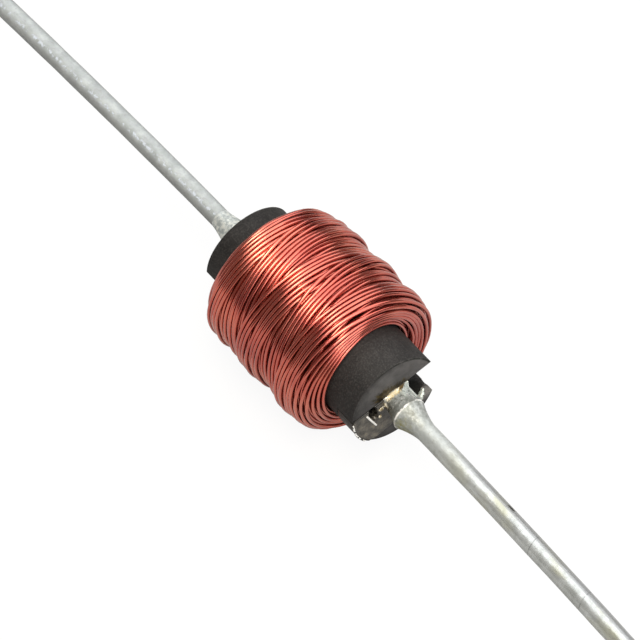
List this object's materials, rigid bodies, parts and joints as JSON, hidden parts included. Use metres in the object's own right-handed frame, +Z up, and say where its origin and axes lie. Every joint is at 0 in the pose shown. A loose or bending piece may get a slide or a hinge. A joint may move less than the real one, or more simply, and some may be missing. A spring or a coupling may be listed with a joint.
{
  "type": "axial inductor",
  "caption": "Axial-lead inductor: a slotted ferrite rod, scatter-wound with enamelled copper wire, with a tinned copper lead soldered at each end.",
  "frame": {"origin": "on the surface the part lies on, under the middle of the ferrite rod", "axes": "+X along the rod towards the front end, +Z up from the surface"},
  "size_m": [0.0598, 0.007, 0.0067],
  "materials": {
    "ferrite": "matt charcoal sintered ferrite with a fine grain",
    "enamelled_copper": "copper wire under clear red-brown enamel, glossy",
    "tinned_copper": "dull tinned wire with drawing marks",
    "solder": "smooth solder, satin",
    "amber_cement": "amber resin"
  },
  "bodies": {
    "root": {"ferrite_core": "ferrite", "winding": "enamelled_copper", "front_lead": "tinned_copper", "rear_lead": "tinned_copper", "front_solder": "solder", "rear_solder": "solder", "front_cement": "amber_cement", "rear_cement": "amber_cement"}
  },
  "joints": []
}
